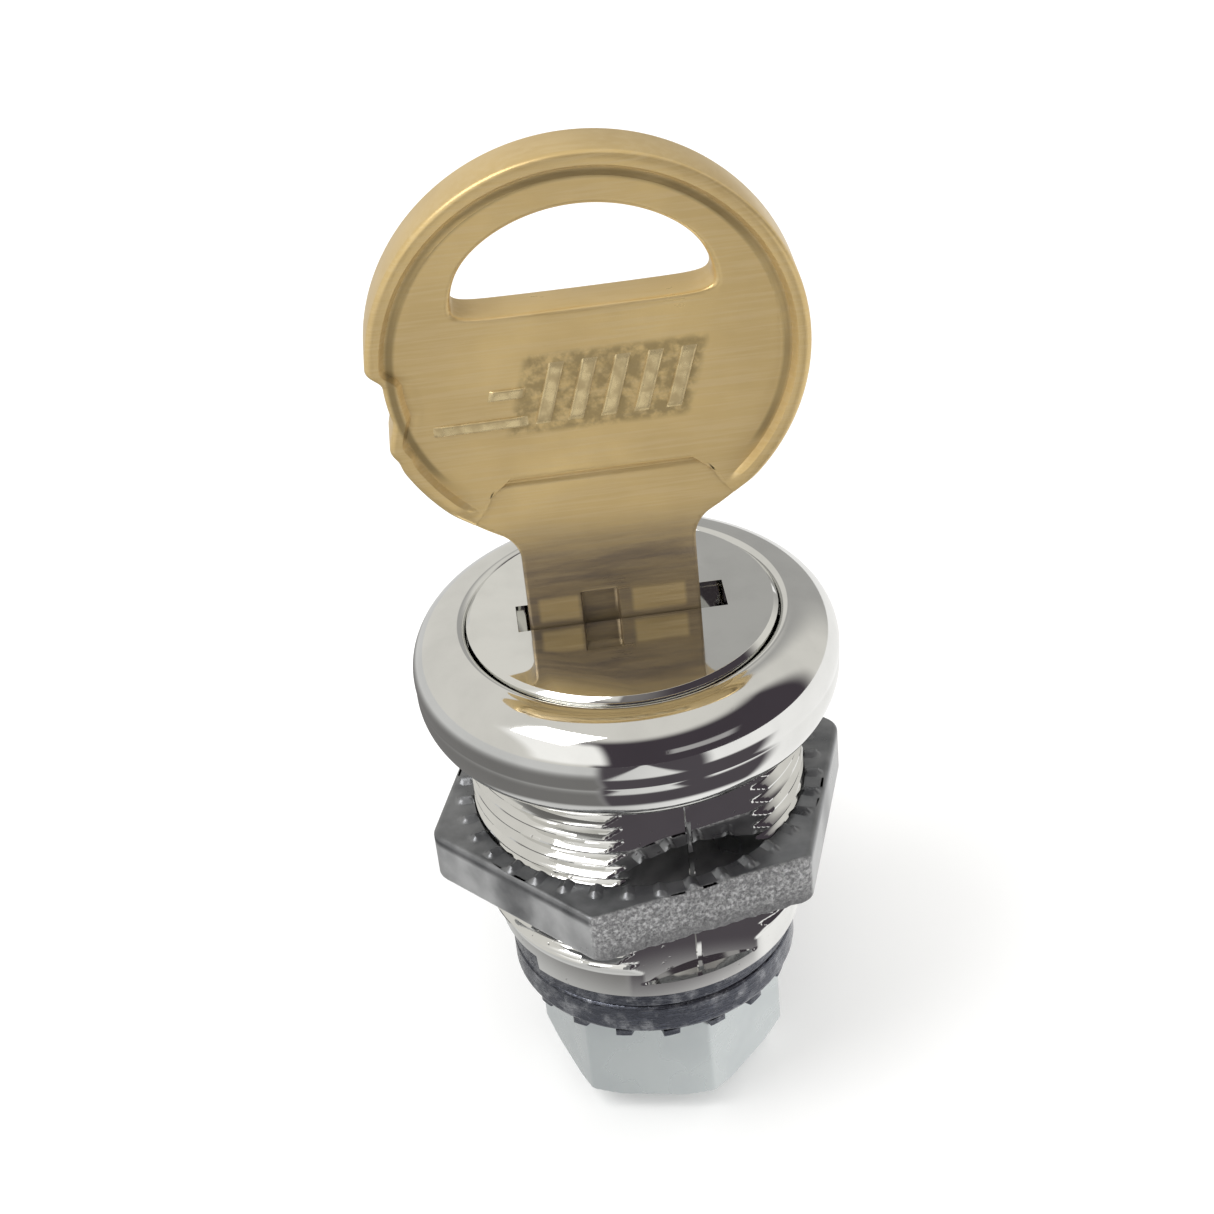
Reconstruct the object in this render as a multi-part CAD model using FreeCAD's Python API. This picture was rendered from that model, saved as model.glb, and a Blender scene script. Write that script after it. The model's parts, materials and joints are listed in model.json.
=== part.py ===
"""Wafer cam lock for a 19 mm double-D panel hole: key, turning plug, housing, panel nut and cam.

Millimetres. The origin is on the lock's axis, in the plane of the bezel's underside, which is the
face that rests on the front of the panel. +Z points out of the panel, towards the key. The keyway
lies along X, and the cam points along +Y.
"""

import FreeCAD, Part
import math
import os

from FreeCAD import Vector

# ---------------------------------------------------------------- driving dimensions
# housing: bezel and threaded double-D barrel
THREAD_R = 9.5                          # major radius of the barrel's thread
FLAT_DEPTH = 1.3                        # how far each flat is cut into the thread
FLATS_TURN = 14.0                       # the flats' normal, turned from -Y towards +X, in degrees
BARREL_WALL = 2.7                       # plug's surface to the thread's crests
RIM_R = THREAD_R - 0.6                  # plain rim behind the thread
RIM_LENGTH = 0.9                        # the full round part of it, behind the flats
LEAD_IN_LENGTH = 1.2                    # cone between the thread and the rim
PLAIN_LENGTH = 1.7                      # rear face to the start of the cone
SEAM_WIDTH = 0.30                       # the casting's parting line on each flat
SEAM_HEIGHT = 0.14
BEZEL_R = THREAD_R + 2.2                # widest radius of the bezel
BEZEL_WIDEST_Z = 2.9                    # height of that widest point
BEZEL_CREST_Z = 6.0
SEAT_R = THREAD_R + 0.8                 # outer radius of the flat underside
LIP_WIDTH = 0.7                         # the plug's head to the bezel's rounded crest
LIP_DROP = 0.35                         # how far the lip rolls down towards the head

# plug
PLUG_R = THREAD_R - BARREL_WALL
FACE_Z = 6.3                            # the plug's polished face
HEAD_R = 8.6
HEAD_THICKNESS = 3.3
HEAD_CHAMFER = 0.25
STUD_R = 3.97                           # 5/16 inch tail thread
STUD_FLATS = 2 * STUD_R - 1.64          # across the two flats that drive the cam
STUD_PROUD = 1.1                        # thread left showing behind the cam nut
KEYWAY_FACE_DEPTH = 2.0                 # the wider mouth of the keyway, cut into the face
KEYWAY_FACE_MARGIN = 1.05               # its width past each edge of the blade
KEYWAY_END_MARGIN = 0.5                 # room beyond the key's tip
PLUG_END_WALL = 2.7                     # solid metal behind the keyway

# running clearances
TURN_CLEARANCE = 0.06                   # radial, plug in housing
FACE_CLEARANCE = 0.05                   # axial, between turning faces
KEY_CLEARANCE = 0.15                    # each side of the blade
STACK_CLEARANCE = 0.06                  # radial, pieces on the stud
WAFER_CLEARANCE = 0.08                  # each side of a wafer in its slot

# key
BLADE_SIDE_WALL = 2.1                   # half of what the plug is wider than the blade
BLADE_WIDTH = 2 * (PLUG_R - BLADE_SIDE_WALL)
BLADE_THICKNESS = 2.2
KEY_OFFSET = -0.4                       # along X, the key's middle from the lock's axis
BLADE_ABOVE_FACE = 4.4                  # shoulder to the plug's face, key home
BLADE_LENGTH = 22.0                     # shoulder to tip
BLADE_TIP = 2.2                         # length of the tapered tip
WARD_WIDTH = 1.3                        # the long groove milled in each side of the blade
WARD_DEPTH = 0.45
WARD_OFFSET = 1.0
BOW_R = 11.4
BOW_THICKNESS = BLADE_THICKNESS + 0.3   # the flat field of the bow
BOW_RIM_WIDTH = 0.9
BOW_RIM_THICKNESS = BOW_THICKNESS + 0.6
BOW_SHOULDER_R = 2.0                    # the curve from the bow into the blade
BOW_HOLE_R = BOW_R - 2.9
BOW_HOLE_HALF = 6.9                     # the hole's ends, from the bow's centre
BOW_HOLE_FLOOR = 3.0                    # straight lower edge of the hole, above the bow's centre
BOW_HOLE_CORNER = 1.2
BOW_NOTCH_TOP = 0.9                     # the notch in the bow's left edge, from the bow's centre
BOW_NOTCH_BOTTOM = -4.2
BOW_NOTCH_DEPTH = 0.9
RECESS_TOP = 4.8 - BOW_R                # the blade's flat runs up into the bow as a trapezium
RECESS_TOP_HALF = BLADE_WIDTH / 2 + 0.2
RECESS_FOOT = 3.5 - BOW_R
RECESS_FOOT_HALF = BLADE_WIDTH / 2 + 1.7

# wafers, numbered from the face inwards
WAFER_COUNT = 7
WAFER_FIRST_Z = 1.3
WAFER_TO_TIP = 2.1                      # the last wafer's middle to the blade's tip
WAFER_THICKNESS = 1.0
WAFER_WIDTH = 5.2
WINDOW_SLACK = 0.4                      # the window's length along X, past the blade's width
WINDOW_MARGIN = 0.25                    # its height past each face of the blade
WAFER_END_SET_BACK = 0.1                # wafer's end below the plug's surface when the key is home
FIRST_CUT = 0.2                         # the key's first cut, and how much deeper each next one is
CUT_STEP = 0.1
CUT_CLEARANCE = 0.02
CUT_LEAD = 0.6                          # a cut starts this far above its wafer's middle
CHAMBER_DEPTH = 0.9                     # the four grooves in the housing's bore
WING_LENGTH = 1.2                       # the wafer's side wing, which its spring pushes
WING_WIDTH = 1.3
SPRING_R = 0.5
SPRING_WIRE_R = 0.1
SPRING_LENGTH = 3.0
SPRING_TURNS = 6
SPRING_GAP = 0.03

# pieces behind the barrel
STACK_R = RIM_R - 0.5                   # stop washer and cam hub
STOP_WASHER_THICKNESS = 1.3
STOP_TAB_HEIGHT = 0.9
STOP_TAB_MARGIN = 0.3                   # radial, the tab's inner face from the plug
STOP_TAB_ANGLE = 24.5
STOP_START = 215.6                      # the end of the notch that the tab rests on, in degrees
TURN_RANGE = 90.0
STOP_PLAY = 0.5                         # degrees at each end of the notch
CAM_THICKNESS = 2.0
CAM_LENGTH = 28.0                       # axis to tip
CAM_WIDTH = 13.0
CAM_TIP_R = 3.0
LOCK_WASHER_R = STACK_R - 0.3
LOCK_WASHER_THICKNESS = 0.8
LOCK_WASHER_TEETH = 18
LOCK_WASHER_GAP = 0.45                  # a gap's radius, as a share of half the tooth pitch
CAM_NUT_ACROSS = 12.7
CAM_NUT_HEIGHT = 6.3
CAM_NUT_TURN = -12.0                    # a facet's normal, turned from -Y towards +X, in degrees
CAM_NUT_CHAMFER = 30.0                  # degrees

# panel nut
PANEL_GAP = 5.4                         # seat to the nut
NUT_WALL = 1.3                          # thread's crests to the nut's flats
NUT_THICKNESS = 3.4
NUT_CORNER_R = 1.2
NUT_TURN = 12.4                         # a facet's normal, turned from -Y towards +X, in degrees
NUT_THREAD_CLEARANCE = 0.05
NUT_TEETH = 36
NUT_TOOTH_HEIGHT = 0.3
NUT_TOOTH_WIDTH = 0.75
NUT_TOOTH_LENGTH = 1.05
NUT_TOOTH_ROOT = 0.5                    # how far each tooth starts inside the bore before it is cut

# ---------------------------------------------------------------- derived levels
SHOULDER_Z = FACE_Z + BLADE_ABOVE_FACE
TIP_Z = SHOULDER_Z - BLADE_LENGTH
BOW_Z = SHOULDER_Z + math.sqrt((BOW_R + BOW_SHOULDER_R) ** 2 - (BLADE_WIDTH / 2 + BOW_SHOULDER_R) ** 2)
KEYWAY_FLOOR_Z = TIP_Z - KEYWAY_END_MARGIN
HEAD_BOTTOM_Z = FACE_Z - HEAD_THICKNESS
REAR_Z = KEYWAY_FLOOR_Z - PLUG_END_WALL
PLUG_REAR_Z = REAR_Z - FACE_CLEARANCE
CAM_TOP_Z = PLUG_REAR_Z - STOP_WASHER_THICKNESS
LOCK_WASHER_TOP_Z = CAM_TOP_Z - CAM_THICKNESS
CAM_NUT_TOP_Z = LOCK_WASHER_TOP_Z - LOCK_WASHER_THICKNESS
CAM_NUT_BOTTOM_Z = CAM_NUT_TOP_Z - CAM_NUT_HEIGHT
STUD_END_Z = CAM_NUT_BOTTOM_Z - STUD_PROUD
WAFER_R = PLUG_R - WAFER_END_SET_BACK
WAFER_SLOT = WAFER_THICKNESS + 2 * WAFER_CLEARANCE
WAFER_PITCH = (WAFER_FIRST_Z - TIP_Z - WAFER_TO_TIP) / (WAFER_COUNT - 1)
WAFER_Z = [WAFER_FIRST_Z - i * WAFER_PITCH for i in range(WAFER_COUNT)]
WAFER_CUT = [FIRST_CUT + i * CUT_STEP for i in range(WAFER_COUNT)]
WAFER_SIDE = [1 if i % 2 == 0 else -1 for i in range(WAFER_COUNT)]  # the way the spring pushes

BEZEL_CREST_R = HEAD_R + LIP_WIDTH
CHAMBER_R = PLUG_R + CHAMBER_DEPTH

Z_AXIS = Vector(0, 0, 1)
ORIGIN = Vector(0, 0, 0)


# ---------------------------------------------------------------- helpers
def disc(radius, low, high):
    """A cylinder on the axis between two heights."""
    return Part.makeCylinder(radius, high - low, Vector(0, 0, low))


def block(x, y, z):
    """A box from three (low, high) pairs."""
    return Part.makeBox(x[1] - x[0], y[1] - y[0], z[1] - z[0], Vector(x[0], y[0], z[0]))


def turned(shape, degrees):
    """The shape turned about the axis, right-handed about +Z."""
    copy = shape.copy()
    copy.rotate(ORIGIN, Z_AXIS, degrees)
    return copy


def polar(radius, degrees, z=0.0):
    """A point at a radius and an azimuth measured from +X."""
    a = math.radians(degrees)
    return Vector(radius * math.cos(a), radius * math.sin(a), z)


def revolved(edges):
    """A solid of revolution about Z from the edges of a closed outline in the XZ plane."""
    return Part.Face(Part.Wire(edges)).revolve(ORIGIN, Z_AXIS, 360)


def rz(r, z):
    """A point of a revolved outline."""
    return Vector(r, 0, z)


def polyline(points):
    """Straight edges through the points, in order."""
    return [Part.makeLine(a, b) for a, b in zip(points, points[1:])]


def arc(a, middle, b):
    """An arc from a to b through a middle point."""
    return Part.Arc(a, middle, b).toShape()


def prism(points, direction):
    """A closed polygon pushed along a direction."""
    return Part.Face(Part.makePolygon(points + [points[0]])).extrude(direction)


def hexagon(across, low, high, turn):
    """A hexagonal prism with one facet's normal turned from -Y towards +X."""
    corner = across / math.sqrt(3)
    points = [polar(corner, turn - 60 + 60 * i, low) for i in range(6)]
    return prism(points, Vector(0, 0, high - low))


def double_d(radius, across, low, high, turn=0.0):
    """A round bar with two flats whose normals are turned from -Y towards +X."""
    flats = block((-2 * radius, 2 * radius), (-across / 2, across / 2), (low, high))
    return disc(radius, low, high).common(turned(flats, turn))


def sector(inner, outer, start, sweep, low, high):
    """Part of a ring, from an azimuth through a sweep, in degrees."""
    ring = Part.makeCylinder(outer, high - low, Vector(0, 0, low), Z_AXIS, sweep)
    hole = disc(inner, low, high)
    return turned(ring.cut(hole), start)


def vertical_edges(shape, radius_over):
    """The straight edges that run along Z outside a radius."""
    found = []
    for edge in shape.Edges:
        a, b = edge.Vertexes[0].Point, edge.Vertexes[-1].Point
        upright = math.hypot(a.x - b.x, a.y - b.y) < 1e-6 and abs(a.z - b.z) > 1e-6
        if upright and math.hypot(a.x, a.y) > radius_over:
            found.append(edge)
    return found


# ---------------------------------------------------------------- housing
def bezel_and_barrel():
    """The turned outside of the casting, solid on the inside."""
    recess_r = HEAD_R + TURN_CLEARANCE
    recess_z = HEAD_BOTTOM_Z - FACE_CLEARANCE
    lip_z = BEZEL_CREST_Z - LIP_DROP
    cone_top = REAR_Z + PLAIN_LENGTH + LEAD_IN_LENGTH
    lip_mid = rz(recess_r + 0.25 * (BEZEL_CREST_R - recess_r), BEZEL_CREST_Z - 0.25 * LIP_DROP)
    side_height = BEZEL_CREST_Z - BEZEL_WIDEST_Z
    top_mid = rz(BEZEL_R - 0.22 * (BEZEL_R - BEZEL_CREST_R), BEZEL_CREST_Z - 0.28 * side_height)
    low_mid = rz(BEZEL_R - 0.22 * (BEZEL_R - SEAT_R), 0.38 * BEZEL_WIDEST_Z)
    edges = polyline([
        rz(0, recess_z),
        rz(0, REAR_Z),
        rz(RIM_R, REAR_Z),
        rz(RIM_R, REAR_Z + PLAIN_LENGTH),
        rz(THREAD_R, cone_top),
        rz(THREAD_R, 0),
        rz(SEAT_R, 0),
    ])
    edges.append(arc(rz(SEAT_R, 0), low_mid, rz(BEZEL_R, BEZEL_WIDEST_Z)))
    edges.append(arc(rz(BEZEL_R, BEZEL_WIDEST_Z), top_mid, rz(BEZEL_CREST_R, BEZEL_CREST_Z)))
    edges.append(arc(rz(BEZEL_CREST_R, BEZEL_CREST_Z), lip_mid, rz(recess_r, lip_z)))
    edges += polyline([rz(recess_r, lip_z), rz(recess_r, recess_z), rz(0, recess_z)])
    return revolved(edges)


def housing():
    """Bezel and barrel with flats, parting lines, bore, wafer chambers and stop notch."""
    half = THREAD_R - FLAT_DEPTH
    flats_low = REAR_Z + RIM_LENGTH
    shape = bezel_and_barrel()
    for side in (-1, 1):
        y = sorted((side * half, side * (THREAD_R + 1)))
        slab = block((-THREAD_R, THREAD_R), y, (flats_low, 0))
        shape = shape.cut(turned(slab, FLATS_TURN))
    for side in (-1, 1):
        y = sorted((side * (half - SEAM_HEIGHT), side * (half + SEAM_HEIGHT)))
        seam = block((-SEAM_WIDTH / 2, SEAM_WIDTH / 2), y, (flats_low, 0))
        shape = shape.fuse(turned(seam, FLATS_TURN))
    shape = shape.cut(disc(PLUG_R + TURN_CLEARANCE, REAR_Z, FACE_Z))
    chamber_half = WAFER_WIDTH / 2 + 2 * WAFER_CLEARANCE
    chamber_top = WAFER_Z[0] + WAFER_SLOT
    for quarter in (0, 90):
        groove = block((-CHAMBER_R, CHAMBER_R), (-chamber_half, chamber_half), (REAR_Z, chamber_top))
        shape = shape.cut(turned(groove, quarter).common(disc(CHAMBER_R, REAR_Z, chamber_top)))
    sweep = STOP_TAB_ANGLE + TURN_RANGE + 2 * STOP_PLAY
    notch_top = REAR_Z + STOP_TAB_HEIGHT
    notch = sector(PLUG_R, RIM_R + 1, STOP_START + STOP_PLAY - sweep, sweep, REAR_Z, notch_top)
    return shape.cut(notch).removeSplitter()


# ---------------------------------------------------------------- plug
def plug():
    """Head, slotted body and the double-D threaded tail, in one piece."""
    head = disc(HEAD_R, HEAD_BOTTOM_Z, FACE_Z)
    rim = [e for e in head.Edges if e.BoundBox.ZMin > FACE_Z - 1e-6]
    head = head.makeChamfer(HEAD_CHAMFER, rim)
    tail = double_d(STUD_R, STUD_FLATS, STUD_END_Z, PLUG_REAR_Z)
    shape = head.fuse(disc(PLUG_R, PLUG_REAR_Z, HEAD_BOTTOM_Z)).fuse(tail)
    half_width = BLADE_WIDTH / 2 + KEY_CLEARANCE
    half_height = BLADE_THICKNESS / 2 + KEY_CLEARANCE
    keyway = block((-half_width, half_width), (-half_height, half_height), (KEYWAY_FLOOR_Z, FACE_Z))
    keyway.translate(Vector(KEY_OFFSET, 0, 0))
    half_face = BLADE_WIDTH / 2 + KEYWAY_FACE_MARGIN
    mouth = block((-half_face, half_face), (-half_height, half_height), (FACE_Z - KEYWAY_FACE_DEPTH, FACE_Z))
    shape = shape.cut(keyway).cut(mouth)
    for z, side in zip(WAFER_Z, WAFER_SIDE):
        shape = shape.cut(wafer_slot(z, side))
    return shape.removeSplitter()


def wafer_slot(z, side):
    """The slot that one wafer slides in, with the pocket for its wing and spring."""
    low, high = z - WAFER_SLOT / 2, z + WAFER_SLOT / 2
    half = WAFER_WIDTH / 2 + WAFER_CLEARANCE
    slot = block((-PLUG_R, PLUG_R), (-half, half), (low, high))
    start, end = spring_span()
    along = sorted((side * start, side * (WING_LENGTH + WAFER_CUT[-1])))
    pocket = block(along, (half - WAFER_CLEARANCE, half + WING_WIDTH), (low, high))
    return slot.fuse(pocket)


def spring_span():
    """Where a spring starts, at the plug's ledge, and ends, at the wafer's wing, along its push."""
    end = -SPRING_GAP
    return end - SPRING_LENGTH - SPRING_GAP, end


# ---------------------------------------------------------------- wafers and springs
def wafer(i):
    """A plate with a window for the key and a wing for its spring, flush with the plug."""
    z, side = WAFER_Z[i], WAFER_SIDE[i]
    low, high = z - WAFER_THICKNESS / 2, z + WAFER_THICKNESS / 2
    half = WAFER_WIDTH / 2
    plate = disc(WAFER_R, low, high).common(block((-WAFER_R, WAFER_R), (-half, half), (low, high)))
    near = KEY_OFFSET - side * (BLADE_WIDTH / 2 - WAFER_CUT[i] + CUT_CLEARANCE)
    window_x = sorted((near, near + side * (BLADE_WIDTH + WINDOW_SLACK)))
    tall = BLADE_THICKNESS / 2 + WINDOW_MARGIN
    window = block(window_x, (-tall, tall), (low, high))
    wing_y = (half - WAFER_CLEARANCE, half + WING_WIDTH - 2 * WAFER_CLEARANCE)
    wing = block(sorted((0, side * WING_LENGTH)), wing_y, (low, high))
    return plate.cut(window).fuse(wing).removeSplitter()


def wafer_spring(i):
    """The small coil between the plug's ledge and the wafer's wing."""
    side = WAFER_SIDE[i]
    start, end = spring_span()
    coil_r = SPRING_R - SPRING_WIRE_R
    length = end - start - 2 * SPRING_GAP - 2 * SPRING_WIRE_R
    helix = Part.makeHelix(length / SPRING_TURNS, length, coil_r)
    circle = Part.Circle(Vector(coil_r, 0, 0), Vector(0, 1, 0), SPRING_WIRE_R)
    coil = Part.Wire(helix.Edges).makePipeShell([Part.Wire(circle.toShape())], True, True)
    coil.rotate(ORIGIN, Vector(0, 1, 0), -90 * side)
    y = WAFER_WIDTH / 2 + WING_WIDTH / 2
    coil.translate(Vector(side * (end - SPRING_GAP - SPRING_WIRE_R), y, WAFER_Z[i]))
    return coil


# ---------------------------------------------------------------- key
def blade_outline():
    """Half-outlines of the blade, left then right, as (x, z) going down from the shoulder."""
    tip_half = BLADE_WIDTH / 2 - BLADE_TIP
    halves = []
    for edge in (-1, 1):
        points = [(edge * BLADE_WIDTH / 2, SHOULDER_Z)]
        depth = 0.0
        for z, side, cut in zip(WAFER_Z, WAFER_SIDE, WAFER_CUT):
            if side != -edge:
                continue
            points.append((edge * (BLADE_WIDTH / 2 - depth), z + CUT_LEAD + cut - depth))
            points.append((edge * (BLADE_WIDTH / 2 - cut), z + CUT_LEAD))
            depth = cut
        points.append((edge * (BLADE_WIDTH / 2 - depth), TIP_Z + BLADE_TIP - depth))
        points.append((edge * tip_half, TIP_Z))
        halves.append(points)
    return halves


def plate(points, thickness):
    """A polygon of (x, z) points as a plate centred on the XZ plane."""
    outline = [Vector(x, -thickness / 2, z) for x, z in points]
    return prism(outline, Vector(0, thickness, 0))


def bow_disc(radius, thickness):
    """A disc standing in the XZ plane at the bow's centre."""
    return Part.makeCylinder(radius, thickness, Vector(0, -thickness / 2, BOW_Z), Vector(0, 1, 0))


def bow_hole():
    """The half-moon hole, an arch over a straight floor with rounded corners."""
    deep = 2 * BOW_RIM_THICKNESS
    half = BOW_HOLE_HALF
    window = block((-half, half), (-deep, deep), (BOW_Z + BOW_HOLE_FLOOR, BOW_Z + BOW_R))
    hole = bow_disc(BOW_HOLE_R, deep).common(window)
    corners = []
    for edge in hole.Edges:
        box = edge.BoundBox
        if box.YLength > deep / 2 and max(box.XLength, box.ZLength) < 1e-3:
            corners.append(edge)
    return hole.makeFillet(BOW_HOLE_CORNER, corners)


def outward_slab(points, near):
    """A polygon of (x, z) points cut outwards from a Y height on its own side of the key."""
    outline = [Vector(x, near, z) for x, z in points]
    return prism(outline, Vector(0, math.copysign(BOW_RIM_THICKNESS, near), 0))


def bow_neck():
    """The flared neck, whose side curves touch both the bow's circle and the blade."""
    centre_x = BLADE_WIDTH / 2 + BOW_SHOULDER_R
    share = BOW_R / (BOW_R + BOW_SHOULDER_R)
    top_x, top_z = share * centre_x, BOW_Z - share * (BOW_Z - SHOULDER_Z)
    neck = plate([
        (-top_x, top_z),
        (top_x, top_z),
        (centre_x, SHOULDER_Z),
        (-centre_x, SHOULDER_Z),
    ], BLADE_THICKNESS)
    for side in (-1, 1):
        centre = Vector(side * centre_x, -BLADE_THICKNESS, SHOULDER_Z)
        neck = neck.cut(Part.makeCylinder(BOW_SHOULDER_R, 2 * BLADE_THICKNESS, centre, Vector(0, 1, 0)))
    return neck


def blade():
    """The stepped blade, with a warding groove along each side."""
    left, right = blade_outline()
    shape = plate(left + right[::-1], BLADE_THICKNESS)
    ward_top = FACE_Z + KEYWAY_FACE_DEPTH
    for side in (-1, 1):
        x = (side * WARD_OFFSET - WARD_WIDTH / 2, side * WARD_OFFSET + WARD_WIDTH / 2)
        y = sorted((side * (BLADE_THICKNESS / 2 - WARD_DEPTH), side * BLADE_THICKNESS))
        shape = shape.cut(block(x, y, (TIP_Z, ward_top)))
    return shape


def bow():
    """The round bow, with raised rims, hole, edge notch and the recess that the blade runs into."""
    shape = bow_disc(BOW_R, BOW_RIM_THICKNESS)
    recess = [
        (-RECESS_TOP_HALF, BOW_Z + RECESS_TOP),
        (RECESS_TOP_HALF, BOW_Z + RECESS_TOP),
        (RECESS_FOOT_HALF, BOW_Z + RECESS_FOOT),
        (RECESS_FOOT_HALF, BOW_Z - BOW_R),
        (-RECESS_FOOT_HALF, BOW_Z - BOW_R),
        (-RECESS_FOOT_HALF, BOW_Z + RECESS_FOOT),
    ]
    field_r = BOW_R - BOW_RIM_WIDTH
    for side in (-1, 1):
        y = sorted((side * BOW_THICKNESS / 2, side * BOW_RIM_THICKNESS))
        field = Part.makeCylinder(field_r, y[1] - y[0], Vector(0, y[0], BOW_Z), Vector(0, 1, 0))
        shape = shape.cut(field).cut(outward_slab(recess, side * BLADE_THICKNESS / 2))
    notch_mid = (BOW_NOTCH_TOP + BOW_NOTCH_BOTTOM) / 2
    notch_half = (BOW_NOTCH_TOP - BOW_NOTCH_BOTTOM) / 2
    mouth_x, floor_x = -BOW_R - BOW_NOTCH_DEPTH, -BOW_R + BOW_NOTCH_DEPTH
    notch = plate([
        (mouth_x, BOW_Z + notch_mid + 1.5 * notch_half),
        (floor_x, BOW_Z + notch_mid + 0.5 * notch_half),
        (floor_x, BOW_Z + notch_mid - 0.5 * notch_half),
        (mouth_x, BOW_Z + notch_mid - 1.5 * notch_half),
    ], 2 * BOW_RIM_THICKNESS)
    return shape.cut(notch).cut(bow_hole())


def key():
    """The cut key, stamped and milled from one blank."""
    shape = bow().fuse(bow_neck()).fuse(blade()).removeSplitter()
    shape.translate(Vector(KEY_OFFSET, 0, 0))
    return shape


# ---------------------------------------------------------------- pieces behind the barrel
def stud_hole(low, high):
    """The double-D hole that fits the plug's tail."""
    return double_d(STUD_R + STACK_CLEARANCE, STUD_FLATS + 2 * STACK_CLEARANCE, low, high)


def stop_washer():
    """A washer whose raised tab runs in the housing's notch and limits the turn."""
    washer = disc(STACK_R, CAM_TOP_Z, PLUG_REAR_Z)
    tab_top = REAR_Z + STOP_TAB_HEIGHT - FACE_CLEARANCE
    inner = PLUG_R + STOP_TAB_MARGIN
    tab = sector(inner, STACK_R, STOP_START - STOP_TAB_ANGLE, STOP_TAB_ANGLE, CAM_TOP_Z, tab_top)
    return washer.fuse(tab).cut(stud_hole(CAM_TOP_Z, PLUG_REAR_Z)).removeSplitter()


def cam():
    """The flat latch arm, with a round hub and a rounded tip."""
    hub = disc(STACK_R, LOCK_WASHER_TOP_Z, CAM_TOP_Z)
    half = CAM_WIDTH / 2
    arm = block((-half, half), (0, CAM_LENGTH), (LOCK_WASHER_TOP_Z, CAM_TOP_Z))
    arm = arm.makeFillet(CAM_TIP_R, vertical_edges(arm, CAM_LENGTH))
    return hub.fuse(arm).cut(stud_hole(LOCK_WASHER_TOP_Z, CAM_TOP_Z)).removeSplitter()


def lock_washer():
    """An external-tooth washer that bites into the cam."""
    washer = disc(LOCK_WASHER_R, CAM_NUT_TOP_Z, LOCK_WASHER_TOP_Z)
    pitch = 360.0 / LOCK_WASHER_TEETH
    gap_r = LOCK_WASHER_GAP * math.pi * LOCK_WASHER_R / LOCK_WASHER_TEETH
    for i in range(LOCK_WASHER_TEETH):
        centre = polar(LOCK_WASHER_R, i * pitch, CAM_NUT_TOP_Z)
        washer = washer.cut(Part.makeCylinder(gap_r, LOCK_WASHER_THICKNESS, centre))
    return washer.cut(disc(STUD_R + STACK_CLEARANCE, CAM_NUT_TOP_Z, LOCK_WASHER_TOP_Z))


def cam_nut():
    """The hexagon nut on the tail, with both faces chamfered."""
    shape = hexagon(CAM_NUT_ACROSS, CAM_NUT_BOTTOM_Z, CAM_NUT_TOP_Z, CAM_NUT_TURN)
    corner = CAM_NUT_ACROSS / math.sqrt(3)
    face_r = CAM_NUT_ACROSS / 2
    drop = (corner - face_r) * math.tan(math.radians(CAM_NUT_CHAMFER))
    edges = polyline([
        rz(0, CAM_NUT_BOTTOM_Z),
        rz(face_r, CAM_NUT_BOTTOM_Z),
        rz(corner, CAM_NUT_BOTTOM_Z + drop),
        rz(corner, CAM_NUT_TOP_Z - drop),
        rz(face_r, CAM_NUT_TOP_Z),
        rz(0, CAM_NUT_TOP_Z),
        rz(0, CAM_NUT_BOTTOM_Z),
    ])
    bore = disc(STUD_R + STACK_CLEARANCE, CAM_NUT_BOTTOM_Z, CAM_NUT_TOP_Z)
    return shape.common(revolved(edges)).cut(bore).removeSplitter()


# ---------------------------------------------------------------- panel nut
def hex_nut():
    """The cast nut that pulls the bezel onto the panel, with radial teeth round its bore."""
    low, high = -PANEL_GAP - NUT_THICKNESS, -PANEL_GAP
    body_top = high - NUT_TOOTH_HEIGHT
    bore_r = THREAD_R + NUT_THREAD_CLEARANCE
    across = 2 * (THREAD_R + NUT_WALL)
    shape = hexagon(across, low, body_top, NUT_TURN)
    shape = shape.makeFillet(NUT_CORNER_R, vertical_edges(shape, across / 2))
    half = NUT_TOOTH_WIDTH / 2
    root_r = bore_r - NUT_TOOTH_ROOT
    section = [
        Vector(root_r, -half, body_top),
        Vector(root_r, half, body_top),
        Vector(root_r, 0, high),
    ]
    tooth = prism(section, Vector(NUT_TOOTH_ROOT + NUT_TOOTH_LENGTH, 0, 0))
    for i in range(NUT_TEETH):
        shape = shape.fuse(turned(tooth, i * 360.0 / NUT_TEETH))
    return shape.cut(disc(bore_r, low, high)).removeSplitter()


# ---------------------------------------------------------------- output
def pieces():
    """Every node's name and shape."""
    found = {
        "housing": housing(),
        "hex_nut": hex_nut(),
        "plug": plug(),
        "key": key(),
        "stop_washer": stop_washer(),
        "cam": cam(),
        "lock_washer": lock_washer(),
        "cam_nut": cam_nut(),
    }
    for i in range(WAFER_COUNT):
        found[f"wafer_{i + 1}"] = wafer(i)
        found[f"wafer_spring_{i + 1}"] = wafer_spring(i)
    return found


os.makedirs("parts", exist_ok=True)
for name, shape in pieces().items():
    print(name, len(shape.Solids), shape.isValid(), round(shape.Volume, 3))
    shape.exportStep(f"parts/{name}.step")
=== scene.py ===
import json
import math

import bmesh
import bpy
import numpy as np
from mathutils import Matrix, Vector


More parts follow.
